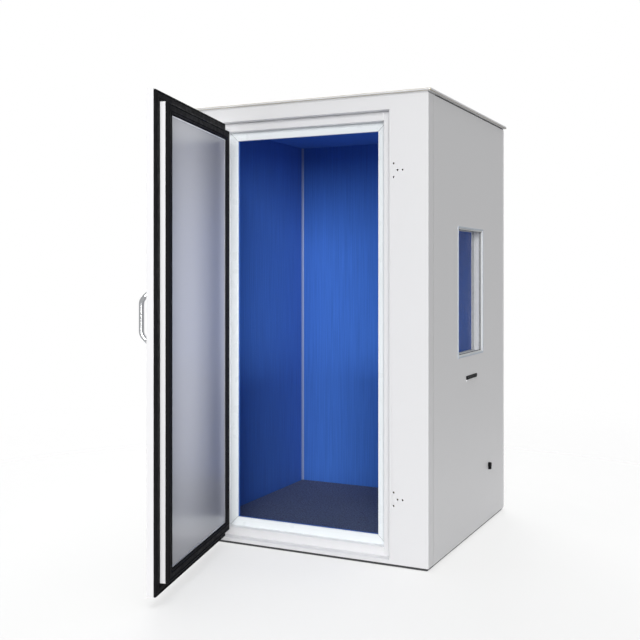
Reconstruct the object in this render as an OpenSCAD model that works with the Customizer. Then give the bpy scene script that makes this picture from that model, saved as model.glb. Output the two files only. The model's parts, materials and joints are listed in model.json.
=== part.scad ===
// Single-person hearing-test cabin with a rebated, double-sealed door that stands open.
// Origin: centre of the cabin's footprint, on the floor. +X right, +Y back, +Z up. Millimetres.

/* [Cabin] */
// Outside width of the cabin
cabin_w = 1330; // [1100:10:1800]
// Outside depth of the cabin
cabin_d = 1290; // [1000:10:1800]
// Height from the floor to the top of the roof edge
cabin_h = 2200; // [2050:10:2500]
// Thickness of the side and back walls
wall_t = 60; // [50:1:100]
// Thickness of the fabric-covered wall and ceiling lining
lining_t = 14; // [8:1:20]
// Thickness of the sheet steel
sheet_t = 2; // [1.5:0.5:3]
// Depth of the front frame
front_t = 66; // [60:1:90]

/* [Floor and roof] */
// Thickness of the isolation mat
mat_t = 12; // [8:1:20]
// How far the mat sits back from the walls
mat_inset = 8; // [4:1:20]
// Thickness of the floor panel
floor_t = 43; // [30:1:60]
// Thickness of the carpet
carpet_t = 8; // [4:1:12]
// Height of the roof cap's edge
roof_edge = 14; // [12:1:30]
// Overhang of the roof cap at the sides and back
roof_over = 14; // [6:1:30]
// Overhang of the roof cap at the front
roof_over_front = 6; // [0:1:20]
// Thickness of the seal under the roof cap
roof_seal_t = 6; // [4:1:12]
// Thickness of the roof panel under the seal
roof_plug_t = 28; // [20:1:60]

/* [Doorway] */
// Width of the outer rebate in the front frame
rebate_w = 944; // [800:2:980]
// Height of the outer rebate
rebate_h = 2083; // [1900:1:2090]
// Height of the rebate's lower edge above the floor
rebate_z = 32; // [28:1:60]
// Width of each step of the rebate
step_w = 43; // [38:1:55]
// Depth of the first step below the front
step1_d = 42; // [38:1:55]
// Depth of the second step below the first
step2_d = 36; // [30:1:45]
// Thickness of the inner frame's flange
inner_frame_t = 12; // [8:1:16]

/* [Door] */
// Gap between the leaf's sides and the rebate
leaf_gap = 5; // [4:1:8]
// Gap between the leaf's ends and the rebate
leaf_gap_z = 8; // [4:1:10]
// Thickness of the leaf
leaf_t = 30; // [24:1:34]
// Height of the raised core above the leaf
core_step = 33; // [28:1:34]
// Gap between the raised core and the first step's edge
core_gap = 8; // [7:1:10]
// Gap left between a seal and the face that it closes on
seal_gap = 0.3; // [0.2:0.1:1]
// Width of the seal on the raised core
seal_w = 46; // [38:1:50]
// Thickness of the inner door panel
door_panel_t = 6; // [4:1:9]
// Distance of the hinge pins in front of the front face
pin_out = 32; // [28:1:45]
// Angle that the door stands open
open_angle = 75.8; // [0:0.1:110]

/* [Hinges] */
// Height of the lower hinge
hinge_low_z = 314; // [250:1:500]
// Height of the upper hinge
hinge_high_z = 1833; // [1600:1:1900]
// Radius of the hinge pins
pin_r = 8; // [6:0.5:10]
// Radial running clearance of the door knuckles on their pins
pin_clear = 0.06; // [0.03:0.01:0.1]
// Height of each knuckle
knuckle_h = 44; // [34:1:60]
// Outer radius of the knuckles
knuckle_r = 14; // [12:1:18]
// Thickness of the washer between the knuckles
washer_t = 2; // [1:0.5:3]
// Vertical distance between the two plate screws next to the rebate
hole_pitch_z = 62; // [50:1:70]
// Distance from the rebate to the vertical pair of screws
hole_in_1 = 23.5; // [22:0.5:28]
// Distance from the rebate to the first middle screw
hole_in_2 = 43; // [38:0.5:48]
// Distance from the rebate to the second middle screw
hole_in_3 = 67.5; // [60:0.5:72]
// Radius of the hinge screw holes
hole_r = 4.5; // [3:0.5:5]

/* [Handle] */
// Distance from the door's free edge to the handle
handle_in = 60; // [45:1:90]
// Height of the handle's middle above the floor
handle_z = 1174; // [1000:1:1300]
// Length of the handle's straight grip
grip_len = 110; // [90:1:160]
// Distance from the door to the middle of the grip
grip_out = 46; // [42:1:60]
// Radius of the grip bar
grip_r = 11; // [8:0.5:13]
// Bend radius of the handle's two bends
bend_r = 40; // [20:1:50]

/* [Window] */
// Width of the window's clear opening
window_w = 417; // [250:1:600]
// Height of the window's clear opening
window_h = 641; // [300:1:900]
// Height of the window's middle above the floor
window_z = 1262; // [1100:1:1500]
// Distance of the window's middle behind the cabin's middle
window_y = 7; // [-100:1:100]
// Thickness of each pane
glass_t = 6; // [4:1:8]
// Visible width of the window's trim frames
trim_w = 8; // [6:1:25]

/* [Connections] */
// Length of the socket strip
jack_len = 187; // [150:1:260]
// Height of the socket strip
jack_h = 19; // [13:1:22]
// Height of the socket strip above the floor
jack_z = 825; // [700:1:900]
// Number of sockets in the strip
jack_count = 9; // [3:1:10]
// Distance between the sockets
jack_pitch = 18; // [16:0.5:25]
// Radius of each socket's bore
jack_r = 3.2; // [1.8:0.1:3.3]
// Distance of the cable outlet behind the cabin's middle
outlet_y = 333; // [250:1:420]
// Height of the cable outlet above the floor
outlet_z = 313; // [200:1:450]
// Radius of the cable outlet's round hood
outlet_r = 13; // [11:1:20]
// Length of the outlet's spout below the middle of its hood
outlet_drop = 24; // [20:1:40]
// Radius of the cable passage
cable_r = 4; // [3:0.5:5]

/* [Ventilation and light] */
// Inner radius of the fan's ring
fan_r = 56; // [45:1:70]
// Radius of the fan's hub
hub_r = 19; // [15:1:24]
// Number of fan blades
blades = 7; // [5:1:9]
// Distance of the fan right of the middle
fan_x = 300; // [100:10:380]
// Distance of the fan behind the middle
fan_y = 300; // [100:10:380]
// Height of the roof cowl
cowl_h = 46; // [30:1:60]
// Distance of the air inlet right of the middle
inlet_x = 300; // [200:10:350]
// Width of the air inlet on the back wall
inlet_w = 260; // [180:1:360]
// Height of the air inlet
inlet_h = 120; // [80:1:160]
// Height of the air inlet's middle above the floor
inlet_z = 260; // [180:1:400]
// Radius of the ceiling lamp
lamp_r = 110; // [80:1:150]
// Height of the lamp's diffuser
lamp_h = 38; // [25:1:50]
// Height of the switch plate's middle above the floor
switch_z = 1180; // [1000:5:1400]
// Angle that each switch rocker turns
rocker_turn = 12; // [8:1:16]

/* [Hidden] */
$fn = 64;

eps = 0.01;
joint_gap = 0.2;         // joint between neighbouring strips, bars and panels
fit = 0.5;               // clearance of a panel in its pocket
x_out = cabin_w / 2;
x_in = x_out - wall_t;
y_front = -cabin_d / 2;
y_back = cabin_d / 2;
y_step1 = y_front + step1_d;
y_step2 = y_step1 + step2_d;
y_front_back = y_front + front_t;
y_board = y_step2 + inner_frame_t;
y_room_front = y_board + lining_t;
y_room_back = y_back - wall_t;
back_edge = 15;          // depth of the back panel's returned edge
z_cap = cabin_h - roof_edge;
z_walls = z_cap - roof_seal_t;
z_plug = z_walls - roof_plug_t;
z_ceiling = z_plug - lining_t;
z_floor = mat_t + floor_t;
z_room = z_floor + carpet_t;
x_core = x_in + lining_t;

mid_w = rebate_w - 2 * step_w;
mid_h = rebate_h - 2 * step_w;
open_w = rebate_w - 4 * step_w;
open_h = rebate_h - 4 * step_w;
open_z = rebate_z + 2 * step_w;

seal_edge = 1;           // distance of the seals from the edges they run along
leaf_w = rebate_w - 2 * leaf_gap;
leaf_h = rebate_h - 2 * leaf_gap_z;
leaf_z = rebate_z + leaf_gap_z;
core_w = mid_w - 2 * core_gap;
core_inset = (leaf_w - core_w) / 2;
core_h = leaf_h - 2 * core_inset;
core_z = leaf_z + core_inset;
y_leaf_in = y_front + leaf_t;
y_core_in = y_leaf_in + core_step;
leaf_seal_t = step1_d - leaf_t - seal_gap;
core_seal_t = step1_d + step2_d - leaf_t - core_step - seal_gap;
leaf_seal_w = core_inset - 2 * seal_edge;
panel_w = core_w - 2 * (seal_w + seal_edge + fit);
panel_h = core_h - 2 * (seal_w + seal_edge + fit);
pin_x = -rebate_w / 2;
pin_y = y_front - pin_out;
plate_t = 4;             // thickness of the hinge plates
plate_in = 6;            // distance from the rebate to a hinge plate
plate_h = hole_pitch_z + 26;
plate_w = hole_in_3 + 12 - plate_in;
hinge_zs = [hinge_low_z, hinge_high_z];
backer_t = 10;           // thickness of the tapped plates behind the front sheet

handle_x = leaf_w / 2 - handle_in;
foot_r = grip_r + 8;
foot_t = 5;

pane_gap = 3;            // edge clearance of a pane in the reveal
reveal_t = 3;            // thickness of the reveal plates
pane_set = 8;            // distance of a pane from the wall's face
seal_bead = 7;           // width of the glazing seals
trim_t = 2;              // thickness of the window trims
jack_y = window_y + 10;
jack_proud = 2;
hole_d = 24;             // depth of the hinge screw holes
fan_wall = 5;
rotor_gap = 2;
shaft_r = 3;
fan_ring_h = 36;
cowl_w = 2 * fan_r + 130;
grille_t = 6;
grille_slots = 9;
louvre_count = 6;
lamp_x = 250;
lamp_y = -150;
switch_x = (open_w / 2 + x_in) / 2 + 20;
rocker_w = 19;
rocker_h = 34;

// A plate in the X-Z plane, centred on X, from y0 towards +Y, with its lower edge at z0
module plate_xz(w, h, t, y0, z0) {
    translate([-w / 2, y0, z0]) cube([w, t, h]);
}

// An open steel tray: a box with one pocket cut from the side that its opening faces
module tray_x(size) {
    difference() {
        cube(size);
        translate([-eps, sheet_t, sheet_t])
            cube([size.x - sheet_t + eps, size.y - 2 * sheet_t, size.z - 2 * sheet_t]);
    }
}

// Four separate bars round a clear opening in the X-Z plane, with butt joints
module bars_xz(w, h, b, t) {
    for (s = [0, 1]) {
        mirror([s, 0, 0]) translate([w / 2, 0, -b]) cube([b, t, h + 2 * b]);
        translate([-w / 2 + joint_gap, 0, s * (h + b) - b])
            cube([w - 2 * joint_gap, t, b]);
    }
}

// Four separate bars round a clear opening in the X-Z plane, cut at 45 degrees in the corners
module mitred_xz(w, h, b, t) {
    g = joint_gap;
    for (s = [-1, 1]) {
        translate([0, t, h / 2]) rotate([90, 0, 0]) linear_extrude(t)
            polygon([[s * w / 2, -h / 2 + g], [s * w / 2, h / 2 - g],
                [s * (w / 2 + b), h / 2 + b - g], [s * (w / 2 + b), -h / 2 - b + g]]);
        translate([0, t, h / 2]) rotate([90, 0, 0]) linear_extrude(t)
            polygon([[-w / 2 + g, s * h / 2], [w / 2 - g, s * h / 2],
                [w / 2 + b - g, s * (h / 2 + b)], [-w / 2 - b + g, s * (h / 2 + b)]]);
    }
}

// Four bars round a clear opening in the Y-Z plane, centred on the opening, from x = 0 to t
module bars_yz(w, h, b, t) {
    for (s = [0, 1]) {
        mirror([0, s, 0]) translate([0, w / 2, -h / 2 - b]) cube([t, b, h + 2 * b]);
        translate([0, -w / 2 + joint_gap, s * (h + b) - h / 2 - b])
            cube([t, w - 2 * joint_gap, b]);
    }
}

// Moves its children, drawn with the door closed, to the door's resting place
module on_door() {
    translate([pin_x, pin_y, 0]) rotate([0, 0, -open_angle]) translate([-pin_x, -pin_y, 0])
        children();
}

// Base and floor
module isolation_mat() {
    color("dimgray") translate([-x_out + mat_inset, y_front + mat_inset, 0])
        cube([cabin_w - 2 * mat_inset, cabin_d - 2 * mat_inset, mat_t]);
}

floor_w = 2 * x_core - 2 * fit;
floor_y0 = y_board + fit;
floor_d = y_back - wall_t + lining_t - fit - floor_y0;

module floor_pan() {
    color("gainsboro") difference() {
        translate([-floor_w / 2, floor_y0, mat_t]) cube([floor_w, floor_d, floor_t]);
        translate([-floor_w / 2 + sheet_t, floor_y0 + sheet_t, mat_t + sheet_t])
            cube([floor_w - 2 * sheet_t, floor_d - 2 * sheet_t, floor_t]);
    }
}

module floor_core() {
    color("tan") translate([-floor_w / 2 + sheet_t, floor_y0 + sheet_t, mat_t + sheet_t])
        cube([floor_w - 2 * sheet_t, floor_d - 2 * sheet_t, floor_t - sheet_t]);
}

module carpet() {
    color("slategray") translate([-x_in + fit, y_room_front + fit, z_floor])
        cube([2 * (x_in - fit), y_room_back - y_room_front - 2 * fit, carpet_t]);
}

// Side walls
side_d = y_back - back_edge - y_front_back;
side_t = x_out - x_core;

module window_cut(x0, t, grow) {
    translate([x0, window_y - window_w / 2 - grow, window_z - window_h / 2 - grow])
        cube([t, window_w + 2 * grow, window_h + 2 * grow]);
}

module cable_cut(x0, t) {
    translate([x0, outlet_y, outlet_z]) rotate([0, 90, 0]) cylinder(r = cable_r, h = t);
}

module right_wall_cuts(x0, t) {
    window_cut(x0, t, reveal_t);
    translate([x0, jack_y, jack_z]) rotate([0, 90, 0]) for (i = [0 : jack_count - 1])
        translate([0, (i - (jack_count - 1) / 2) * jack_pitch, 0]) cylinder(r = jack_nut_r + fit, h = t);
    cable_cut(x0, t);
}

module wall_skin() {
    translate([x_core, y_front_back, mat_t]) tray_x([side_t, side_d, z_walls - mat_t]);
}

module wall_core() {
    translate([x_core, y_front_back + sheet_t, mat_t + sheet_t])
        cube([side_t - sheet_t, side_d - 2 * sheet_t, z_walls - mat_t - 2 * sheet_t]);
}

module wall_lining() {
    translate([x_in, y_room_front, z_floor])
        cube([lining_t, y_room_back - y_room_front, z_plug - z_floor]);
}

module left_wall_skin() {
    color("whitesmoke") mirror([1, 0, 0]) wall_skin();
}

module left_wall_core() {
    color("khaki") mirror([1, 0, 0]) wall_core();
}

module left_lining() {
    color("royalblue") mirror([1, 0, 0]) wall_lining();
}

module right_wall_skin() {
    color("whitesmoke") difference() {
        wall_skin();
        right_wall_cuts(x_core - 1, wall_t);
    }
}

module right_wall_core() {
    color("khaki") difference() {
        wall_core();
        right_wall_cuts(x_core - 1, wall_t);
    }
}

module right_lining() {
    color("royalblue") difference() {
        wall_lining();
        window_cut(x_in - 1, lining_t + 2, reveal_t);
        cable_cut(x_in - 1, lining_t + 2);
    }
}

// Back wall
module inlet_cut(y0, t, grow) {
    translate([inlet_x - inlet_w / 2 - grow, y0, inlet_z - inlet_h / 2 - grow])
        cube([inlet_w + 2 * grow, t, inlet_h + 2 * grow]);
}

module back_wall_skin() {
    color("whitesmoke") difference() {
        plate_xz(cabin_w, z_walls - mat_t, back_edge, y_back - back_edge, mat_t);
        plate_xz(cabin_w - 2 * sheet_t, z_walls - mat_t - 2 * sheet_t, back_edge,
            y_back - back_edge - sheet_t, mat_t + sheet_t);
        inlet_cut(y_back - back_edge - 1, back_edge + 2, sheet_t);
    }
}

module back_wall_core() {
    color("khaki") difference() {
        union() {
            plate_xz(cabin_w - 2 * sheet_t, z_walls - mat_t - 2 * sheet_t, back_edge - sheet_t,
                y_back - back_edge, mat_t + sheet_t);
            plate_xz(2 * (x_core - fit), z_walls - mat_t - 2 * sheet_t,
                wall_t - lining_t - back_edge, y_room_back + lining_t, mat_t + sheet_t);
        }
        inlet_cut(y_room_back, wall_t + 1, sheet_t);
    }
}

module back_lining() {
    color("royalblue") difference() {
        plate_xz(2 * x_core, z_plug - z_floor, lining_t, y_room_back, z_floor);
        inlet_cut(y_room_back - 1, lining_t + 2, sheet_t);
    }
}

// Front frame
module rebate_cut(y0, t, grow) {
    plate_xz(rebate_w + 2 * grow, rebate_h + 2 * grow, t, y0, rebate_z - grow);
}

module front_skin() {
    color("white") difference() {
        plate_xz(cabin_w, z_walls - mat_t, front_t, y_front, mat_t);
        rebate_cut(y_front - 1, front_t + 2, 0);
        difference() {
            plate_xz(cabin_w - 2 * sheet_t, z_walls - mat_t - 2 * sheet_t, front_t,
                y_front + sheet_t, mat_t + sheet_t);
            rebate_cut(y_front - 1, front_t + 2, sheet_t);
        }
        hinge_holes(y_front - 1, hole_d);
    }
}

module front_core() {
    color("khaki") difference() {
        plate_xz(cabin_w - 2 * sheet_t, z_walls - mat_t - 2 * sheet_t, front_t - sheet_t,
            y_front + sheet_t, mat_t + sheet_t);
        rebate_cut(y_front, front_t + 1, sheet_t);
        hinge_backer_blocks(fit);
        hinge_holes(y_front, hole_d);
    }
}

module front_board() {
    color("burlywood") difference() {
        plate_xz(2 * (x_core - fit), z_plug - mat_t, y_board - y_front_back, y_front_back, mat_t);
        rebate_cut(y_front_back - 1, y_board - y_front_back + 2, 0);
    }
}

module front_lining() {
    color("royalblue") difference() {
        plate_xz(2 * (x_core - fit), z_plug - z_floor, lining_t, y_board, z_floor);
        plate_xz(open_w, open_h, lining_t + 2, y_board - 1, open_z);
    }
}

module rebate_frame() {
    color("white") translate([0, y_step1, rebate_z + step_w])
        bars_xz(mid_w, mid_h, step_w - fit / 2, step2_d);
}

module inner_frame() {
    color("azure") translate([0, y_step2, open_z])
        mitred_xz(open_w, open_h, 2 * step_w - fit, inner_frame_t);
}

trim_leg = 12;

module corner_trims() {
    color("lightsteelblue") for (s = [0, 1])
        mirror([s, 0, 0]) translate([x_in, y_room_back, z_room])
            linear_extrude(z_ceiling - z_room) difference() {
                translate([-trim_leg, -trim_leg]) square(trim_leg);
                translate([-trim_leg, -trim_leg]) circle(trim_leg - 3);
            }
}

// Roof
module roof_box(inset, z0, h) {
    x0 = x_out + roof_over - inset;
    y0 = y_front - roof_over_front + inset;
    translate([-x0, y0, z0]) cube([2 * x0, y_back + roof_over - inset - y0, h]);
}

module fan_cut(z0, h, r) {
    translate([fan_x, fan_y, z0]) cylinder(r = r, h = h);
}

module roof_plug(z0, h) {
    translate([-x_core + fit, y_front_back + fit, z0])
        cube([2 * (x_core - fit), y_room_back + lining_t - y_front_back - 2 * fit, h]);
}

module roof_cap() {
    color("whitesmoke") difference() {
        roof_box(0, z_cap, roof_edge);
        roof_box(sheet_t, z_cap + sheet_t, roof_edge - 2 * sheet_t);
        roof_plug(z_cap - 1, sheet_t + 2);
        fan_cut(z_cap, roof_edge + 1, fan_r + fan_wall + fit);
    }
}

module roof_core() {
    color("khaki") difference() {
        union() {
            roof_box(sheet_t, z_cap + sheet_t, roof_edge - 2 * sheet_t);
            roof_plug(z_plug, z_cap + 2 * sheet_t - z_plug);
        }
        fan_cut(z_plug - 1, cabin_h, fan_r + fan_wall + fit);
    }
}

seal_in = 4;

module roof_seal() {
    color("gray") translate([0, 0, z_walls]) {
        for (s = [0, 1]) mirror([s, 0, 0])
            translate([x_core, y_front + seal_in, 0])
                cube([x_out - x_core - seal_in, cabin_d - 2 * seal_in, roof_seal_t]);
        translate([-x_core + fit, y_front + seal_in, 0])
            cube([2 * (x_core - fit), front_t - seal_in, roof_seal_t]);
        translate([-x_core + fit, y_room_back + lining_t, 0])
            cube([2 * (x_core - fit), wall_t - lining_t - seal_in, roof_seal_t]);
    }
}

module ceiling_lining() {
    color("royalblue") difference() {
        translate([-x_in + fit, y_room_front + fit, z_ceiling])
            cube([2 * (x_in - fit), y_room_back - y_room_front - 2 * fit, lining_t]);
        fan_cut(z_ceiling - 1, lining_t + 2, fan_r + fan_wall + fit);
    }
}

// Window
module at_window(x0) {
    translate([x0, window_y, window_z]) children();
}

module window_outer_trim() {
    color("silver") at_window(x_out) bars_yz(window_w, window_h, trim_w, trim_t);
}

module window_inner_trim() {
    color("silver") at_window(x_in - trim_t) bars_yz(window_w, window_h, trim_w, trim_t);
}

module window_reveal() {
    color("white") at_window(x_in) bars_yz(window_w, window_h, reveal_t - joint_gap, wall_t);
}

module pane() {
    translate([0, -window_w / 2 + pane_gap, -window_h / 2 + pane_gap])
        cube([glass_t, window_w - 2 * pane_gap, window_h - 2 * pane_gap]);
}

module window_outer_glass() {
    color("lightblue", 0.4) at_window(x_out - pane_set - glass_t) pane();
}

module window_inner_glass() {
    color("lightblue", 0.4) at_window(x_in + pane_set) pane();
}

module glazing_seals() {
    w = window_w - 2 * seal_bead;
    h = window_h - 2 * seal_bead;
    b = seal_bead - joint_gap;
    color("white") for (x0 = [x_out - pane_set, x_out - pane_set - glass_t - seal_bead,
            x_in + pane_set - seal_bead, x_in + pane_set + glass_t])
        at_window(x0) bars_yz(w, h, b, seal_bead);
}

// Connections on the right wall
jack_nut_r = 5.5;
jack_body_len = 30;
jack_bore_len = 18;

module jack_spread() {
    translate([x_out, jack_y, jack_z]) rotate([0, 90, 0]) for (i = [0 : jack_count - 1])
        translate([0, (i - (jack_count - 1) / 2) * jack_pitch, 0]) children();
}

module jack_strip() {
    color("black") difference() {
        translate([x_out, jack_y, jack_z]) rotate([90, 0, 90]) linear_extrude(jack_proud)
            union() {
                square([jack_len - jack_h, jack_h], center = true);
                for (s = [-1, 1]) translate([s * (jack_len - jack_h) / 2, 0]) circle(jack_h / 2);
            }
        jack_spread() translate([0, 0, -1]) cylinder(r = jack_nut_r + joint_gap, h = jack_proud + 2);
    }
}

module jack_sockets() {
    color("black") jack_spread() difference() {
        translate([0, 0, -jack_body_len]) cylinder(r = jack_nut_r, h = jack_body_len + jack_proud + 0.5);
        translate([0, 0, jack_proud + 0.5 - jack_bore_len]) cylinder(r = jack_r, h = jack_bore_len + 1);
    }
}

module jack_ledge() {
    color("lightgray") translate([x_out, jack_y - jack_len / 2, jack_z - jack_h / 2 - 5])
        cube([7, jack_len, 4]);
}

outlet_t = 14;
spout_w = 2 * cable_r + 7;

module cable_outlet() {
    color("black") difference() {
        union() {
            translate([x_out, outlet_y, outlet_z]) rotate([0, 90, 0])
                cylinder(r = outlet_r, h = outlet_t);
            translate([x_out, outlet_y - spout_w / 2, outlet_z - outlet_drop])
                cube([outlet_t, spout_w, outlet_drop]);
        }
        translate([x_out + outlet_t / 2, outlet_y, outlet_z - outlet_drop - 1])
            cylinder(r = cable_r, h = outlet_drop + 1);
        cable_cut(x_out - 1, outlet_t / 2 + 1);
    }
}

// Hinges: two on the left, and the same tapped holes on the right for hanging the door there
module hinge_pattern(side) {
    for (z = hinge_zs, p = [[hole_in_1, hole_pitch_z / 2], [hole_in_1, -hole_pitch_z / 2],
            [hole_in_2, 0], [hole_in_3, 0]])
        translate([side * (rebate_w / 2 + p.x), 0, z + p.y]) rotate([-90, 0, 0]) children();
}

module hinge_holes(y0, depth) {
    for (side = [-1, 1]) translate([0, y0, 0]) hinge_pattern(side)
        cylinder(r = hole_r, h = depth);
}

module hinge_backer_blocks(grow) {
    for (z = hinge_zs, s = [0, 1]) mirror([s, 0, 0])
        translate([rebate_w / 2 + plate_in - grow, y_front + sheet_t, z - plate_h / 2 - grow])
            cube([plate_w + 2 * grow, backer_t + grow, plate_h + 2 * grow]);
}

module hinge_backers() {
    color("dimgray") difference() {
        hinge_backer_blocks(0);
        hinge_holes(y_front, hole_d);
    }
}

arm_w = 10;
pin_head_t = 3;
screw_head_t = 3;
arm_gap = 2;

module frame_arm(z) {
    translate([pin_x - plate_in - arm_w, pin_y, z - knuckle_h]) cube([arm_w, pin_out, knuckle_h]);
    translate([pin_x - plate_in - arm_w, pin_y - knuckle_r, z - knuckle_h])
        cube([plate_in + arm_w, knuckle_r + arm_gap, knuckle_h]);
    translate([pin_x, pin_y, z - knuckle_h]) cylinder(r = knuckle_r, h = knuckle_h);
}

module hinge_frame_plates() {
    color("silver") for (z = hinge_zs) difference() {
        union() {
            translate([pin_x - plate_in - plate_w, y_front - plate_t, z - plate_h / 2])
                cube([plate_w, plate_t, plate_h]);
            frame_arm(z - washer_t / 2);
        }
        translate([pin_x, pin_y, z - 2 * knuckle_h]) cylinder(r = pin_r + 0.02, h = 3 * knuckle_h);
        translate([0, y_front - plate_t - 1, 0]) hinge_pattern(-1)
            cylinder(r = hole_r, h = plate_t + 2);
    }
}

module hinge_pins() {
    color("silver") for (z = hinge_zs) translate([pin_x, pin_y, z - knuckle_h - washer_t / 2]) {
        translate([0, 0, -joint_gap]) cylinder(r = pin_r, h = 2 * knuckle_h + washer_t - 1);
        translate([0, 0, -joint_gap - pin_head_t]) cylinder(r = pin_r + 3, h = pin_head_t);
    }
}

module hinge_washers() {
    color("white") for (z = hinge_zs) translate([pin_x, pin_y, z - washer_t / 2]) difference() {
        cylinder(r = knuckle_r - 1, h = washer_t - joint_gap);
        translate([0, 0, -1]) cylinder(r = pin_r + 0.2, h = washer_t + 2);
    }
}

// A socket screw whose head lies on the plane z = 0 and whose shank points towards +Z
module screw(r, len) {
    cylinder(r = r - 0.1, h = len);
    translate([0, 0, -screw_head_t]) difference() {
        cylinder(r = r + 2.5, h = screw_head_t);
        translate([0, 0, -1]) cylinder(r = 2.2, h = screw_head_t, $fn = 6);
    }
}

module hinge_frame_screws() {
    color("silver") translate([0, y_front - plate_t, 0]) hinge_pattern(-1)
        screw(hole_r, hole_d - 6);
}

// Ventilation
fan_z = z_ceiling + 6;

module fan_ring() {
    color("dimgray") translate([fan_x, fan_y, fan_z]) {
        difference() {
            cylinder(r = fan_r + fan_wall, h = cabin_h - fan_z);
            translate([0, 0, -1]) cylinder(r = fan_r, h = cabin_h);
        }
        difference() {
            union() {
                cylinder(r = hub_r - 2, h = 4);
                for (a = [0 : 120 : 240]) rotate([0, 0, a + 30])
                    translate([0, -3, 0]) cube([fan_r + 1, 6, 4]);
            }
            translate([0, 0, -1]) cylinder(r = shaft_r + pin_clear, h = 6);
        }
    }
}

module fan_rotor() {
    color("black") translate([fan_x, fan_y, fan_z]) {
        cylinder(r = shaft_r, h = 6);
        translate([0, 0, 5]) cylinder(r = hub_r, h = fan_ring_h - 10);
        intersection() {
            translate([0, 0, 5]) cylinder(r = fan_r - rotor_gap, h = fan_ring_h - 10);
            for (i = [0 : blades - 1]) rotate([0, 0, i * 360 / blades])
                translate([0, -1, fan_ring_h / 2]) rotate([38, 0, 0])
                    translate([hub_r - 4, -16, -1]) cube([fan_r, 32, 2]);
        }
    }
}

cowl_leg = 14;

module roof_cowl() {
    color("whitesmoke") translate([fan_x, fan_y, cabin_h]) {
        difference() {
            translate([-cowl_w / 2, -cowl_w / 2, cowl_leg])
                cube([cowl_w, cowl_w, cowl_h - cowl_leg]);
            translate([-cowl_w / 2 + sheet_t, -cowl_w / 2 + sheet_t, cowl_leg - 1])
                cube([cowl_w - 2 * sheet_t, cowl_w - 2 * sheet_t, cowl_h - cowl_leg - sheet_t + 1]);
        }
        for (a = [0 : 90 : 270]) rotate([0, 0, a])
            translate([cowl_w / 2 - 20, cowl_w / 2 - 20, 0])
                cube([20 - sheet_t / 2, 20 - sheet_t / 2, cowl_h - sheet_t]);
    }
}

grille_w = 2 * fan_r + 44;

module ceiling_grille() {
    pitch = 2 * fan_r / grille_slots;
    color("white") translate([fan_x, fan_y, z_ceiling - grille_t]) difference() {
        translate([-grille_w / 2, -grille_w / 2, 0]) cube([grille_w, grille_w, grille_t]);
        for (i = [0 : grille_slots - 1]) {
            y = (i + 0.5) * pitch - fan_r;
            half = sqrt(fan_r * fan_r - y * y);
            translate([-half, y - pitch * 0.3, -1]) cube([2 * half, pitch * 0.6, grille_t + 2]);
        }
    }
}

module inlet_duct() {
    color("dimgray") difference() {
        inlet_cut(y_room_back + 1, wall_t - 2, sheet_t - joint_gap);
        inlet_cut(y_room_back, wall_t, 0);
    }
}

module louvre_slats(y0, t, tilt) {
    pitch = inlet_h / louvre_count;
    for (i = [0 : louvre_count - 1])
        translate([inlet_x - inlet_w / 2 - 1, y0 + t / 2, inlet_z - inlet_h / 2 + (i + 0.5) * pitch])
            rotate([tilt, 0, 0]) translate([0, -pitch * 0.42, -1]) cube([inlet_w + 2, pitch * 0.84, 2]);
}

module louvre(y0, t, tilt) {
    difference() {
        inlet_cut(y0, t, 18);
        inlet_cut(y0 - 1, t + 2, 0);
    }
    intersection() {
        inlet_cut(y0, t, 1);
        louvre_slats(y0, t, tilt);
    }
}

module inlet_louvre() {
    color("whitesmoke") louvre(y_back, 10, -40);
}

module inlet_inner_grille() {
    color("silver") louvre(y_room_back - 8, 8, 40);
}

// Light and switches
module lamp_base() {
    color("white") translate([lamp_x, lamp_y, z_ceiling - 10]) cylinder(r = lamp_r, h = 10);
}

module lamp_diffuser() {
    color("ivory") translate([lamp_x, lamp_y, z_ceiling - 10]) rotate([180, 0, 0])
        rotate_extrude() intersection() {
            translate([0, lamp_h - 2 * lamp_r]) circle(2 * lamp_r, $fn = 128);
            square([lamp_r - 6, lamp_h]);
        }
}

module rocker_pocket(dx, grow, y0, t) {
    translate([switch_x + dx - rocker_w / 2 - grow, y0, switch_z - rocker_h / 2 - grow])
        cube([rocker_w + 2 * grow, t, rocker_h + 2 * grow]);
}

rocker_dx = rocker_w / 2 + 3;
rocker_gap = 0.5;
switch_t = 9;

module switch_plate() {
    color("white") difference() {
        translate([switch_x - 42, y_room_front, switch_z - 42]) cube([84, switch_t, 84]);
        for (s = [-1, 1]) rocker_pocket(s * rocker_dx, rocker_gap, y_room_front + 2, switch_t);
    }
}

module rocker(dx) {
    depth = switch_t - 3;
    translate([switch_x + dx, y_room_front + depth - 1, switch_z]) rotate([-rocker_turn / 2, 0, 0])
        rotate([90, 0, 90]) translate([0, 0, -rocker_w / 2]) linear_extrude(rocker_w)
            polygon([[0, rocker_h / 2 - 1], [5, rocker_h / 2 - 1], [2.2, 0], [5, -rocker_h / 2 + 1],
                [0, -rocker_h / 2 + 1], [-1.2, 0]]);
}

module light_rocker() {
    color("ghostwhite") rocker(-rocker_dx);
}

module fan_rocker() {
    color("ghostwhite") rocker(rocker_dx);
}

// Door, drawn closed and turned to its resting place
module door_skin() {
    color("white") on_door() difference() {
        plate_xz(leaf_w, leaf_h, leaf_t, y_front, leaf_z);
        plate_xz(leaf_w - 2 * sheet_t, leaf_h - 2 * sheet_t, leaf_t, y_front + sheet_t,
            leaf_z + sheet_t);
        door_holes();
    }
}

module door_core() {
    color("khaki") on_door() difference() {
        union() {
            plate_xz(leaf_w - 2 * sheet_t, leaf_h - 2 * sheet_t, leaf_t - 2 * sheet_t,
                y_front + sheet_t, leaf_z + sheet_t);
            plate_xz(core_w - 2 * sheet_t, core_h - 2 * sheet_t,
                leaf_t + core_step - 2 * sheet_t, y_front + sheet_t, core_z + sheet_t);
        }
        door_holes();
    }
}

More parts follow.
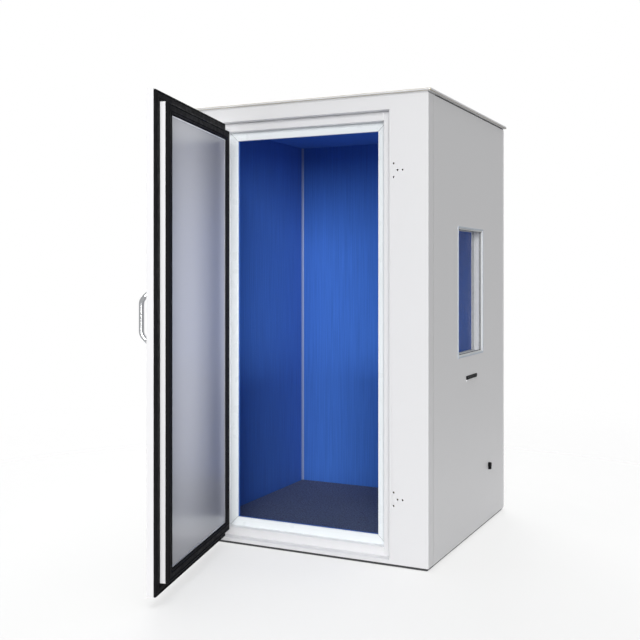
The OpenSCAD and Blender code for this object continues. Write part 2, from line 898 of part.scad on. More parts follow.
module door_pan() {
    color("white") on_door() difference() {
        union() {
            plate_xz(leaf_w - 2 * sheet_t, leaf_h - 2 * sheet_t, sheet_t, y_leaf_in - sheet_t,
                leaf_z + sheet_t);
            plate_xz(core_w, core_h, core_step + sheet_t, y_leaf_in - sheet_t, core_z);
        }
        plate_xz(core_w - 2 * sheet_t, core_h - 2 * sheet_t, core_step, y_leaf_in - sheet_t,
            core_z + sheet_t);
    }
}

module leaf_seal() {
    b = leaf_seal_w;
    color("black") on_door() translate([0, y_leaf_in, leaf_z + b + seal_edge])
        mitred_xz(leaf_w - 2 * (b + seal_edge), core_h + 2 * seal_edge, b, leaf_seal_t);
}

module core_seal() {
    color("black") on_door() translate([0, y_core_in, core_z + seal_w + seal_edge])
        mitred_xz(panel_w + 2 * fit, panel_h + 2 * fit, seal_w, core_seal_t);
}

module door_panel() {
    color("silver") on_door()
        plate_xz(panel_w, panel_h, door_panel_t, y_core_in, core_z + seal_w + seal_edge + fit);
}

door_hole_xs = [34, 60];

module door_pattern() {
    for (z = hinge_zs, x = door_hole_xs, s = [-1, 1])
        translate([pin_x + leaf_gap + x, 0, z + s * hole_pitch_z / 2]) rotate([-90, 0, 0]) children();
}

module door_holes() {
    translate([0, y_front - 1, 0]) door_pattern() cylinder(r = hole_r, h = hole_d);
}

door_plate_w = 66;

module door_hinges() {
    color("silver") on_door() for (z = hinge_zs) difference() {
        union() {
            translate([pin_x + leaf_gap + 3, y_front - plate_t, z - plate_h / 2])
                cube([door_plate_w, plate_t, plate_h]);
            translate([pin_x + leaf_gap + 3, pin_y, z + washer_t / 2])
                cube([arm_w, pin_out, knuckle_h]);
            translate([pin_x, pin_y - knuckle_r, z + washer_t / 2])
                cube([leaf_gap + 3 + arm_w, knuckle_r + arm_gap, knuckle_h]);
            translate([pin_x, pin_y, z + washer_t / 2]) cylinder(r = knuckle_r, h = knuckle_h);
        }
        translate([pin_x, pin_y, z]) cylinder(r = pin_r + pin_clear, h = 2 * knuckle_h);
        translate([0, y_front - plate_t - 1, 0]) door_pattern()
            cylinder(r = hole_r, h = plate_t + 2);
    }
}

module door_hinge_screws() {
    color("silver") on_door() translate([0, y_front - plate_t, 0]) door_pattern()
        screw(hole_r, hole_d - 6);
}

// A bow handle: round bar bent through 45 degrees at both ends of the grip, on two round feet
module door_handle() {
    leg_out = grip_out - bend_r * (1 - cos(45));
    leg_z = grip_len / 2 + bend_r * sin(45);
    mid_out = grip_out - bend_r * (1 - cos(22.5));
    mid_z = grip_len / 2 + bend_r * sin(22.5);
    path = [[grip_out, grip_len / 2], [mid_out, mid_z], [leg_out, leg_z]];
    color("silver") on_door() translate([handle_x, y_front, handle_z]) {
        hull() for (s = [-1, 1]) bend_ball(path[0], s);
        for (s = [-1, 1]) {
            for (i = [0 : 1]) hull() {
                bend_ball(path[i], s);
                bend_ball(path[i + 1], s);
            }
            hull() {
                bend_ball(path[2], s);
                handle_foot(grip_r, s * (leg_z + leg_out));
            }
            handle_foot(foot_r, s * (leg_z + leg_out));
        }
    }
}

module bend_ball(p, side) {
    translate([0, -p[0], side * p[1]]) sphere(grip_r, $fn = 24);
}

module handle_foot(r, z) {
    translate([0, 0, z]) rotate([90, 0, 0]) cylinder(r = r, h = foot_t, $fn = 32);
}

isolation_mat();
floor_pan();
floor_core();
carpet();
left_wall_skin();
left_wall_core();
left_lining();
right_wall_skin();
right_wall_core();
right_lining();
back_wall_skin();
back_wall_core();
back_lining();
front_skin();
front_core();
front_board();
front_lining();
rebate_frame();
inner_frame();
corner_trims();
roof_cap();
roof_core();
roof_seal();
ceiling_lining();
window_outer_trim();
window_inner_trim();
window_reveal();
window_outer_glass();
window_inner_glass();
glazing_seals();
jack_strip();
jack_sockets();
jack_ledge();
cable_outlet();
hinge_backers();
hinge_frame_plates();
hinge_pins();
hinge_washers();
hinge_frame_screws();
fan_ring();
fan_rotor();
roof_cowl();
ceiling_grille();
inlet_duct();
inlet_louvre();
inlet_inner_grille();
lamp_base();
lamp_diffuser();
switch_plate();
light_rocker();
fan_rocker();
door_skin();
door_core();
door_pan();
leaf_seal();
core_seal();
door_panel();
door_hinges();
door_hinge_screws();
door_handle();
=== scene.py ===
"""The looks of a single-person soundproof hearing-test cabin, built round its CAD frame.

Everything is in metres, in the frame of the CAD model: +X right, +Y back, +Z up, with the
origin on the floor in the middle of the cabin. The file is laid out as an add-on: sizes and
colours are properties, and each group of pieces has its own operator.
"""

import json
import math

import bmesh
import bpy
from mathutils import Matrix, Vector


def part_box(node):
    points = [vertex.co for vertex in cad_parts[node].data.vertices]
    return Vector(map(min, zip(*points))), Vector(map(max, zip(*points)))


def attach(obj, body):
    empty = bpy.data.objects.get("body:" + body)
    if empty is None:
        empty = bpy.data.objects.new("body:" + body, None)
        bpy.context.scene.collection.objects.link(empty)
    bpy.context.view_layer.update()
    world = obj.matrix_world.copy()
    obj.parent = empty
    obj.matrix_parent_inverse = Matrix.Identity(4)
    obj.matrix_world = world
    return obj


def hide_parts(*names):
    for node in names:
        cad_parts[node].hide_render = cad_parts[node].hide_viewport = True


bl_info = {
    "name": "Hearing-test cabin",
    "version": (1, 0, 0),
    "blender": (4, 5, 0),
    "location": "3D View > Sidebar > Cabin",
    "description": "Finishes and details of a soundproof hearing-test cabin",
    "category": "Object",
}

NODE_SPACING = 180
NODES_IN_ROW = 8
MM = 0.001
WHITE = (1.0, 1.0, 1.0, 1.0)
COAT = {"Coat_Weight": 0.12, "Coat_Roughness": 0.25}

# How soften() joins a CAD mesh and finds its edges
WELD_DISTANCE = 0.00002
FLAT_ANGLE = math.radians(1)
EDGE_ANGLE = math.radians(35)

# The studio floor: half its side, and the circles where it starts and ends fading into the white
FLOOR_HALF = 12.0
FADE_MIDDLE_Y = -0.5
FADE_START = 1.8
FADE_END = 5.5
FLOOR_COVER = 0.4

# Even lights: name, direction it comes from (or the stage's setting), stage setting, disc in degrees
SUNS = (
    ("key_light", "key_from", "key", 28),
    ("back_light", (-0.55, 0.80, 0.35), "back", 40),
    ("overhead_light", (0.0, 0.0, 1.0), "overhead", 50),
)
SUN_DISTANCE = 6.0

# Near lights in front of the cabin: name, place, target, size, stage setting, spread in degrees
PANEL_LIGHT = ("panel_light", (0.75, -1.25, 1.2), (-0.3, -1.25, 1.2), (0.4, 2.0), "panel_power", 50)
JAMB_LIGHT = ("jamb_light", (0.35, -1.0, 1.1), (-0.45, -0.66, 1.1), (0.1, 2.1), "jamb_power", 24)

# Light in the room that shines up to the ceiling
ROOM_FILL = ("room_fill", (0.15, 0.0, 0.7), (0.15, 0.0, 1.7), (0.7, 0.7), "fill_power", 180)
ROOM_LIGHT_SIZE = (0.2, 0.2)
LAMP_CLEARANCE = 0.02

# Share of a seal's width from either edge to the middle of the nearer groove
GROOVE_PLACE = 0.24

# How far the handle's legs lean from its straight part
LEG_LEAN = math.radians(45)

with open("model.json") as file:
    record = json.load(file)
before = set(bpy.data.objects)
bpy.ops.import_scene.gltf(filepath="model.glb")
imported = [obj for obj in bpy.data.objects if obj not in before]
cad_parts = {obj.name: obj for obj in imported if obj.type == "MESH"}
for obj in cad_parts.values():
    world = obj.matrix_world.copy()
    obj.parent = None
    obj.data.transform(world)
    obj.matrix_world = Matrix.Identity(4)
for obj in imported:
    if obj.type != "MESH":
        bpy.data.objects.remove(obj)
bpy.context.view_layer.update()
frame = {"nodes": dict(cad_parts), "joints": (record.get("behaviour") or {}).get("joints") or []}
NODES = frame["nodes"]
ROOF_SEAL_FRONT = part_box("front_lining")[1][1]
DOOR_JOINT = next(j for j in frame["joints"] if j["name"] == "door_swing")


# ---------------------------------------------------------------- shader maths


class Sock:
    """A node's output with Python's operators: an expression on it adds its Math nodes."""

    def __init__(self, graph, socket):
        self.graph = graph
        self.socket = socket

    def _math(self, operation, *values):
        return self.graph.node("ShaderNodeMath", {"operation": operation}, values)

    def __add__(self, other):
        return self._math("ADD", self, other)

    def __radd__(self, other):
        return self._math("ADD", other, self)

    def __sub__(self, other):
        return self._math("SUBTRACT", self, other)

    def __rsub__(self, other):
        return self._math("SUBTRACT", other, self)

    def __mul__(self, other):
        return self._math("MULTIPLY", self, other)

    def __rmul__(self, other):
        return self._math("MULTIPLY", other, self)

    def __pow__(self, other):
        return self._math("POWER", self, other)

    def __abs__(self):
        return self._math("ABSOLUTE", self)


class Graph:
    """A node tree that nodes are added to."""

    def __init__(self, tree):
        self.tree = tree
        self.made = 0

    def node(self, kind, settings=None, values=(), output=0):
        """Adds any node: settings are its own properties, values are its sockets' values or links."""
        made = self.tree.nodes.new(kind)
        self.made += 1
        row, place = divmod(self.made, NODES_IN_ROW)
        made.location = (-NODE_SPACING * (1 + place), -NODE_SPACING * row)
        for name, value in (settings or {}).items():
            if name == "stops":
                self._stops(made.color_ramp, value)
            else:
                setattr(made, name, value)
        pairs = values.items() if isinstance(values, dict) else enumerate(values)
        for key, value in pairs:
            self.put(made.inputs[key], value)
        return Sock(self, made.outputs[output])

    def _stops(self, ramp, stops):
        while len(ramp.elements) < len(stops):
            ramp.elements.new(1.0)
        for element, (place, colour) in zip(ramp.elements, stops):
            element.position = place
            element.color = colour

    def put(self, socket, value):
        """Sets a socket, or links it when the value is another node's output."""
        if isinstance(value, Sock):
            self.tree.links.new(value.socket, socket)
        else:
            socket.default_value = value


class Paint(Graph):
    """One procedural material on a Principled shader."""

    def __init__(self, name, rough, metal=0.0, **fixed):
        self.material = bpy.data.materials.new(name)
        self.material.use_nodes = True
        super().__init__(self.material.node_tree)
        self.shader = self.tree.nodes["Principled BSDF"]
        self.shader.inputs["Roughness"].default_value = rough
        self.shader.inputs["Metallic"].default_value = metal
        for socket, value in fixed.items():
            self.shader.inputs[socket.replace("_", " ")].default_value = value

    def feed(self, socket, value):
        self.put(self.shader.inputs[socket], value)

    def place(self, scale=(1.0, 1.0, 1.0)):
        """The point on the piece, in metres times scale."""
        here = self.node("ShaderNodeTexCoord", output=3)
        return self.node("ShaderNodeMapping", {}, {"Vector": here, "Scale": scale})

    def noise(self, size, detail=3.0, stretch=(1.0, 1.0, 1.0), rough=0.5):
        """Noise from 0 to 1 with features of that size in metres."""
        scale = tuple(s / size for s in stretch)
        values = {"Vector": self.place(scale), "Scale": 1.0, "Detail": detail, "Roughness": rough}
        return self.node("ShaderNodeTexNoise", {}, values)

    def cells(self, size, feature="F1", stretch=(1.0, 1.0, 1.0)):
        scale = tuple(s / size for s in stretch)
        values = {"Vector": self.place(scale), "Scale": 1.0}
        return self.node("ShaderNodeTexVoronoi", {"feature": feature}, values)

    def axis(self, index, scale=1.0):
        """One coordinate of the point on the piece, times scale."""
        split = self.node("ShaderNodeSeparateXYZ", {}, [self.place()], output=index)
        return split * scale

    def wave(self, value):
        """A smooth wave from 0 to 1 that repeats each time value grows by 1."""
        turned = value * (2 * math.pi)
        return self.node("ShaderNodeMath", {"operation": "SINE"}, [turned]) * 0.5 + 0.5

    def ramp(self, value, stops):
        return self.node("ShaderNodeValToRGB", {"stops": stops}, [value])

    def band(self, value, low, high, out_low=0.0, out_high=1.0):
        """Value from low to high, carried to the range out_low to out_high."""
        values = {"Value": value, 1: low, 2: high, 3: out_low, 4: out_high}
        return self.node("ShaderNodeMapRange", {}, values)

    def blend(self, amount, first, second, mode="MIX"):
        """Mixes two colours."""
        settings = {"data_type": "RGBA", "blend_type": mode}
        return self.node("ShaderNodeMix", settings, {0: amount, 6: first, 7: second}, output=2)

    def bump(self, height, depth, strength=1.0):
        values = {"Height": height, "Distance": depth, "Strength": strength}
        self.feed("Normal", self.node("ShaderNodeBump", {}, values))


def tone(colour, factor):
    """A colour made lighter or darker."""
    return (*(min(1.0, c * factor) for c in colour[:3]), 1.0)


# ---------------------------------------------------------------- materials


def powder_coat(name, colour, rough=0.42):
    """Powder-coated sheet steel: fine orange peel, faint clouding and rubbed patches."""
    paint = Paint(name, rough, **COAT)
    cloud = paint.noise(0.35, detail=2.0)
    paint.feed("Base Color", paint.blend(cloud, tone(colour, 0.975), tone(colour, 1.01)))
    rubbed = paint.noise(0.09, detail=4.0)
    paint.feed("Roughness", paint.band(rubbed, 0.3, 0.7, rough - 0.05, rough + 0.07))
    paint.bump(paint.noise(0.0022, detail=1.0) * 0.7 + paint.noise(0.0006) * 0.3, 0.00006)
    return paint.material


def mitred_profile(name, colour):
    """The doorway's coated inner frame, with a fine joint across each mitred corner."""
    paint = Paint(name, 0.3, **COAT)
    low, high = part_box("inner_frame")
    off_side = abs(paint.axis(0) - (low[0] + high[0]) / 2) - (high[0] - low[0]) / 2
    off_end = abs(paint.axis(2) - (low[2] + high[2]) / 2) - (high[2] - low[2]) / 2
    joint = paint.band(abs(off_side - off_end), 0.6 * MM, 1.3 * MM, 1.0, 0.0)
    coat = paint.blend(paint.noise(0.35, detail=2.0), tone(colour, 0.975), tone(colour, 1.01))
    paint.feed("Base Color", paint.blend(joint, coat, tone(colour, 0.3)))
    paint.feed("Roughness", paint.band(paint.noise(0.09, detail=4.0), 0.3, 0.7, 0.25, 0.37))
    paint.bump(paint.noise(0.0022, detail=1.0) - joint, 0.00006)
    return paint.material


def satin_laminate(name, colour):
    """The door's grey inner panel: a satin laminate with a faint upright grain."""
    paint = Paint(name, 0.3, Coat_Weight=0.6, Coat_Roughness=0.1)
    grain = paint.noise(0.004, detail=2.0, stretch=(1.0, 1.0, 0.012))
    cloud = paint.noise(0.5, detail=1.0)
    base = paint.blend(grain, tone(colour, 0.96), tone(colour, 1.04))
    paint.feed("Base Color", paint.blend(cloud * 0.3, base, tone(colour, 0.93)))
    paint.feed("Roughness", paint.band(grain, 0.2, 0.8, 0.25, 0.36))
    paint.bump(grain, 0.00003)
    return paint.material


def acoustic_cloth(name, colour):
    """Woven acoustic cloth: threads over and under, with slubs that run upright."""
    paint = Paint(name, 0.85, Specular_IOR_Level=0.12, Sheen_Weight=0.03)
    thread = bpy.context.scene.cabin_sizes.thread
    across = paint.axis(0, 1 / thread) + paint.axis(1, 1 / thread)
    upright = paint.axis(2, 1 / thread)
    over = paint.wave(across) * paint.wave(upright)
    under = (1 - paint.wave(across + 0.5)) * paint.wave(upright + 0.5)
    weave = over + under
    slub = paint.noise(0.006, detail=3.0, stretch=(1.0, 1.0, 0.02))
    cloud = paint.noise(0.4, detail=2.0)
    base = paint.blend(slub, tone(colour, 0.72), tone(colour, 1.32))
    base = paint.blend(cloud * 0.35, base, tone(colour, 0.8))
    paint.feed("Base Color", paint.blend(weave * 0.3, base, tone(colour, 0.55)))
    paint.bump(weave * 0.6 + slub * 0.4, 0.0005)
    return paint.material


def loop_carpet(name, colour):
    """Low loop-pile carpet: rows of small loops in mixed blue-grey yarns, with painted shade between the
    loops.
    """
    paint = Paint(name, 0.95, Specular_IOR_Level=0.15, Sheen_Weight=0.05)
    loops = paint.cells(0.006, stretch=(1.0, 1.0, 0.3))
    fleck = paint.noise(0.009, detail=4.0, rough=0.7)
    patch = paint.noise(0.25, detail=2.0)
    stops = [(0.3, tone(colour, 0.45)), (0.52, tone(colour, 1.0)), (0.72, tone(colour, 1.9))]
    base = paint.ramp(fleck, stops)
    base = paint.blend(patch * 0.4, base, tone(colour, 0.8))
    # Painted shade: darker between the loops, where the pile dips
    paint.feed("Base Color", paint.blend(loops * 0.8, base, tone(colour, 0.3)))
    paint.bump((1 - loops) * 0.8 + fleck * 0.2, 0.003)
    return paint.material


def seal_rubber(name, colour):
    """Matt cellular rubber with a dusty bloom."""
    paint = Paint(name, 0.62, Specular_IOR_Level=0.06)
    bloom = paint.noise(0.03, detail=5.0)
    pores = paint.cells(0.0012)
    paint.feed("Base Color", paint.blend(bloom * 0.5, tone(colour, 0.9), tone(colour, 1.4)))
    paint.feed("Roughness", paint.band(bloom, 0.3, 0.7, 0.5, 0.75))
    paint.bump(pores, 0.00015, 0.6)
    return paint.material


def roof_seal_lit_front(name, colour):
    """Cellular rubber under the roof: dark on the sides, with the front strip painted pale as painted light,
    for the light that falls on the front.
    """
    paint = Paint(name, 0.62, Specular_IOR_Level=0.2)
    # Painted light: the strip along the front is pale, while the rubber itself is dark all round
    front = paint.band(paint.axis(1), ROOF_SEAL_FRONT, ROOF_SEAL_FRONT + 0.001)
    bloom = paint.noise(0.03, detail=5.0)
    dark = paint.blend(bloom * 0.5, tone(colour, 0.9), tone(colour, 1.4))
    lit_front_colour = tone(bpy.context.scene.cabin_colours.seal_front_painted_light, 1.0)
    paint.feed("Base Color", paint.blend(front, lit_front_colour, dark))
    paint.bump(paint.cells(0.0012), 0.00015, 0.6)
    return paint.material


def granulate_rubber(name, colour):
    """Isolation mat of bound rubber granules with pale flecks."""
    paint = Paint(name, 0.9)
    grains = paint.cells(0.004)
    fleck = paint.noise(0.005, detail=2.0)
    stops = [(0.6, tone(colour, 1.0)), (0.66, tone(colour, 3.5))]
    paint.feed("Base Color", paint.ramp(fleck, stops))
    paint.bump(grains, 0.0012)
    return paint.material


def brushed_metal(name, colour, rough, upright=True):
    """Brushed metal: long fine scratches, handled patches a little smoother."""
    paint = Paint(name, rough, metal=1.0)
    along = (1.0, 1.0, 0.01) if upright else (0.01, 1.0, 1.0)
    scratches = paint.noise(0.0012, detail=4.0, stretch=along)
    handled = paint.noise(0.05, detail=3.0)
    paint.feed("Base Color", paint.blend(scratches, tone(colour, 0.85), tone(colour, 1.05)))
    level = paint.band(scratches, 0.2, 0.8, rough - 0.06, rough + 0.1)
    paint.feed("Roughness", level - handled * 0.08)
    paint.bump(scratches, 0.00004)
    return paint.material


def polished_metal(name, colour):
    """Polished steel with faint smears."""
    paint = Paint(name, 0.1, metal=1.0)
    smear = paint.noise(0.03, detail=5.0)
    paint.feed("Base Color", paint.blend(smear, tone(colour, 0.97), tone(colour, 1.02)))
    paint.feed("Roughness", paint.band(smear, 0.35, 0.75, 0.17, 0.27))
    paint.bump(paint.noise(0.03), 0.00002)
    return paint.material


def moulded_plastic(name, colour, rough, gloss=0.3):
    """Injection-moulded plastic with a fine spark texture."""
    paint = Paint(name, rough, Specular_IOR_Level=gloss)
    cloud = paint.noise(0.06, detail=3.0)
    paint.feed("Base Color", paint.blend(cloud, tone(colour, 0.94), tone(colour, 1.05)))
    paint.feed("Roughness", paint.band(cloud, 0.3, 0.7, rough - 0.06, rough + 0.06))
    paint.bump(paint.noise(0.0008, detail=2.0), 0.00006)
    return paint.material


def opal_plastic(name, colour, glow):
    """Opal lamp diffuser that gives off a soft even light."""
    paint = Paint(name, 0.4, Emission_Strength=glow)
    cloud = paint.noise(0.05, detail=2.0)
    paint.feed("Base Color", paint.blend(cloud, tone(colour, 0.97), tone(colour, 1.0)))
    paint.feed("Emission Color", paint.blend(cloud, tone(colour, 0.96), tone(colour, 1.0)))
    paint.bump(paint.noise(0.0015), 0.00005)
    return paint.material


def clear_glass(name, colour):
    """Clear window glass: a thin pane that light passes, with the faintest waviness and dust."""
    paint = Paint(name, 0.02, IOR=1.5)
    dust = paint.noise(0.02, detail=5.0)
    paint.feed("Base Color", paint.blend(dust * 0.3, tone(colour, 1.0), tone(colour, 1.5)))
    paint.feed("Roughness", paint.band(dust, 0.45, 0.8, 0.01, 0.06))
    paint.feed("Alpha", paint.band(dust, 0.45, 0.8, 0.12, 0.15))
    paint.bump(paint.noise(0.2, detail=1.0), 0.0001)
    return paint.material


def mineral_wool(name, colour):
    """Pressed mineral wool: fibres in layers."""
    paint = Paint(name, 1.0)
    fibre = paint.noise(0.002, detail=5.0, stretch=(0.15, 1.0, 1.0))
    paint.feed("Base Color", paint.blend(fibre, tone(colour, 0.6), tone(colour, 1.3)))
    paint.bump(fibre, 0.002)
    return paint.material


def particle_board(name, colour):
    """Particle board: pressed chips of several tones."""
    paint = Paint(name, 0.8)
    chips = paint.cells(0.006, stretch=(0.5, 1.0, 1.0))
    tint = paint.noise(0.01, detail=2.0)
    base = paint.blend(tint, tone(colour, 0.7), tone(colour, 1.35))
    paint.feed("Base Color", paint.blend(chips * 0.7, base, tone(colour, 0.6)))
    paint.bump(chips, 0.0004)
    return paint.material


# ---------------------------------------------------------------- places


def closed_to_rest():
    """The turn that carries a door drawn closed to where it stands at rest."""
    pin = Matrix.Translation(Vector(DOOR_JOINT["pos_m"]))
    opened = -math.radians(DOOR_JOINT["range_deg"][0])
    return pin @ Matrix.Rotation(opened, 4, Vector(DOOR_JOINT["axis"])) @ pin.inverted()


DOOR_TURN = closed_to_rest()


def closed_points(node):
    """The points of one of the door's CAD nodes when the door is closed."""
    back = DOOR_TURN.inverted()
    return [back @ v.co for v in NODES[node].data.vertices]


def closed_box(node):
    """Lowest and highest corner of one of the door's CAD nodes when the door is closed."""
    points = closed_points(node)
    low = Vector(min(p[i] for p in points) for i in range(3))
    high = Vector(max(p[i] for p in points) for i in range(3))
    return low, high


# ---------------------------------------------------------------- mesh helpers


def finish_piece(mesh, name, material, body, smooth=True, stands_for=(), turn=None):
    """Turns a bmesh into a piece that rides on a body; the door's pieces are drawn with it closed."""
    data = bpy.data.meshes.new(name)
    bmesh.ops.recalc_face_normals(mesh, faces=mesh.faces)
    mesh.to_mesh(data)
    mesh.free()
    data.materials.append(material)
    for face in data.polygons:
        face.use_smooth = smooth
    piece = bpy.data.objects.new(name, data)
    bpy.context.scene.collection.objects.link(piece)
    if turn or body == "door":
        piece.matrix_world = turn or DOOR_TURN
    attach(piece, body)
    if stands_for:
        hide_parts(*stands_for)
    return piece


def add_rings(mesh, rings, closed=False, capped=True):
    """Joins equal rings of points into a tube."""
    made = [[mesh.verts.new(p) for p in ring] for ring in rings]
    count = len(made[0])
    last = len(made) if closed else len(made) - 1
    for i in range(last):
        one, two = made[i], made[(i + 1) % len(made)]
        for j in range(count):
            k = (j + 1) % count
            mesh.faces.new((one[j], one[k], two[k], two[j]))
    if capped and not closed:
        mesh.faces.new(made[0])
        mesh.faces.new(list(reversed(made[-1])))


def add_tube(mesh, path, radius, sides=32):
    """Adds a round bar along a path of points."""
    points = [Vector(p) for p in path]
    rings = []
    side = None
    for i, here in enumerate(points):
        ahead = points[min(i + 1, len(points) - 1)]
        behind = points[max(i - 1, 0)]
        along = (ahead - behind).normalized()
        side = along.orthogonal() if side is None else side - along * side.dot(along)
        side.normalize()
        up = along.cross(side)
        turns = (2 * math.pi * j / sides for j in range(sides))
        rings.append([here + radius * (side * math.cos(a) + up * math.sin(a)) for a in turns])
    add_rings(mesh, rings)


def add_mitred(mesh, low, high, profile, y_base, facing=1.0):
    """Adds a bar with a profile all round a rectangle in X and Z, mitred in the corners.

    The profile's points are (distance outwards from the rectangle, height from y_base)."""
    corners = (
        (low[0], low[1], -1, -1),
        (high[0], low[1], 1, -1),
        (high[0], high[1], 1, 1),
        (low[0], high[1], -1, 1),
    )
    rings = [
        [(x + sx * out, y_base + facing * up, z + sz * out) for out, up in profile]
        for x, z, sx, sz in corners
    ]
    add_rings(mesh, rings, closed=True)


def add_lathe(mesh, centre, axis, outline, sides=32, closed=False):
    """Adds a turned shape: the outline's points are (radius, height along the axis)."""
    turn = Vector((0, 0, 1)).rotation_difference(Vector(axis)).to_matrix()
    rings = []
    for radius, height in outline:
        turns = (2 * math.pi * j / sides for j in range(sides))
        points = (Vector((radius * math.cos(a), radius * math.sin(a), height)) for a in turns)
        rings.append([Vector(centre) + turn @ point for point in points])
    add_rings(mesh, rings, closed=closed)


def arc(centre, radius, start, end, steps):
    """Points on an arc, angles in degrees."""
    cx, cy = centre
    angles = [math.radians(start + (end - start) * i / steps) for i in range(steps + 1)]
    return [(cx + radius * math.cos(a), cy + radius * math.sin(a)) for a in angles]


def soften(node, width, segments=3, clamp=True):
    """Rounds the edges of a CAD node; its own mesh stays as it is."""
    piece = NODES[node]
    weld = piece.modifiers.new("joined", "WELD")
    weld.merge_threshold = WELD_DISTANCE
    flat = piece.modifiers.new("whole_faces", "DECIMATE")
    flat.decimate_type = "DISSOLVE"
    flat.angle_limit = FLAT_ANGLE
    bevel = piece.modifiers.new("edges", "BEVEL")
    bevel.width = width
    bevel.segments = segments
    bevel.limit_method = "ANGLE"
    bevel.angle_limit = EDGE_ANGLE
    bevel.use_clamp_overlap = clamp
    normals = piece.modifiers.new("flat_shading", "WEIGHTED_NORMAL")
    normals.weight = 100
    normals.keep_sharp = False
    for face in piece.data.polygons:
        face.use_smooth = True


def dress(material, *nodes, edge=None, segments=3, clamp=True):
    """Gives CAD nodes a material and, where edge is set, rounded edges."""
    for node in nodes:
        data = NODES[node].data
        data.materials.clear()
        data.materials.append(material)
        if edge:
            soften(node, edge, segments, clamp)


# ---------------------------------------------------------------- properties


def colour_property(name, description, default):
    return bpy.props.FloatVectorProperty(
        name=name, description=description, default=default, subtype="COLOR", size=3, min=0.0, max=1.0
    )


def length_property(name, description, default):
    return bpy.props.FloatProperty(
        name=name, description=description, default=default, subtype="DISTANCE", unit="LENGTH", min=0.0
    )


def power_property(name, description, default):
    return bpy.props.FloatProperty(name=name, description=description, default=default, unit="POWER", min=0.0)


class CabinColours(bpy.types.PropertyGroup):
    """The colours that a user would change."""

    paint: colour_property("Paint", "Powder coat of the walls, front and door", (0.86, 0.86, 0.87))
    grey_panel: colour_property("Door panel", "Laminate on the inside of the door", (0.70, 0.69, 0.67))
    cloth: colour_property("Cloth", "Acoustic cloth of the room", (0.049, 0.155, 0.540))
    carpet: colour_property("Carpet", "Loop-pile carpet", (0.155, 0.205, 0.330))
    rubber: colour_property("Seals", "Black rubber of the seals", (0.009, 0.009, 0.010))
    roof_rubber: colour_property("Roof seal", "Seal under the roof", (0.10, 0.10, 0.105))
    # The roof seal's pale front strip is painted light for the light on the front; the rubber itself is dark
    # all round
    seal_front_painted_light: colour_property("Painted seal", "Paint on the roof seal's front strip", (0.62, 0.62, 0.63))
    bead_rubber: colour_property("Glazing beads", "White rubber beads round the panes", (0.74, 0.77, 0.78))
    granulate: colour_property("Mat", "Isolation mat under the cabin", (0.16, 0.16, 0.165))
    frame_white: colour_property("Inner frame", "White profile round the doorway", (0.84, 0.88, 0.90))
    pale_trim: colour_property("Corner trims", "Coated trims in the room's corners", (0.20, 0.26, 0.45))
    pale_anodised: colour_property("Window trims", "Coated trims of the window", (0.60, 0.66, 0.74))
    satin: colour_property("Trims", "Satin aluminium trims", (0.62, 0.65, 0.70))
    brushed: colour_property("Hinges", "Brushed steel of the hinges", (0.56, 0.56, 0.57))
    polished: colour_property("Handle", "Polished steel of the handle", (0.74, 0.75, 0.77))
    black_plastic: colour_property("Sockets", "Black plastic fittings", (0.006, 0.006, 0.007))
    white_plastic: colour_property("Switches", "White plastic fittings", (0.80, 0.80, 0.77))
    fan_grey: colour_property("Fan", "Dark grey plastic of the fan", (0.06, 0.06, 0.065))
    glass: colour_property("Glass", "Tint of the window panes", (0.004, 0.010, 0.025))
    opal: colour_property("Lamp", "Opal diffuser of the ceiling lamp", (0.95, 0.93, 0.87))
    wool: colour_property("Wool", "Mineral wool inside the walls", (0.50, 0.42, 0.22))
    board: colour_property("Board", "Board inside the floor and front", (0.42, 0.30, 0.18))
    steel: colour_property("Backers", "Phosphated steel behind the hinges", (0.12, 0.12, 0.13))
    floor: colour_property("Floor", "Studio floor", (0.93, 0.93, 0.93))


class CabinSizes(bpy.types.PropertyGroup):
    """The sizes of details that the CAD model leaves plain."""

    sheet_edge: length_property("Sheet edge", "Rounding of folded sheet steel", 0.0025)
    roof_edge: length_property("Roof edge", "Rounding of the roof cap's edge", 0.009)
    profile_edge: length_property("Profile edge", "Rounding of the frame profiles", 0.0025)
    small_edge: length_property("Small edge", "Rounding of small fittings", 0.0006)
    cloth_edge: length_property("Cloth edge", "Rounding of the cloth-covered panels", 0.004)
    thread: length_property("Thread", "Thread spacing of the acoustic cloth", 0.0024)
    seal_round: length_property("Seal rounding", "Rounding of the seals' shoulders", 0.004)
    seal_groove: length_property("Seal groove", "Depth of the grooves along the seals", 0.0035)
    bead_width: length_property("Bead width", "How far the beads and lips cover each pane", 0.0045)
    lip: length_property("Glazing lip", "Width of the dark lip between a bead and a pane", 0.0016)
    edging: length_property("Panel edging", "Visible width of the edging round the door panel", 0.007)
    socket_count: bpy.props.IntProperty(name="Sockets", description="Sockets in the strip", default=9, min=2)
    socket_bore: length_property("Socket bore", "Radius of each socket's bore", 0.0032)
    grip_radius: length_property("Grip radius", "Radius of the handle's bar", 0.011)
    grip_length: length_property("Grip length", "Straight part of the handle", 0.110)
    grip_bend: length_property("Grip bend", "Bend radius of the handle", 0.040)
    foot_height: length_property("Foot height", "Thickness of the handle's feet", 0.005)


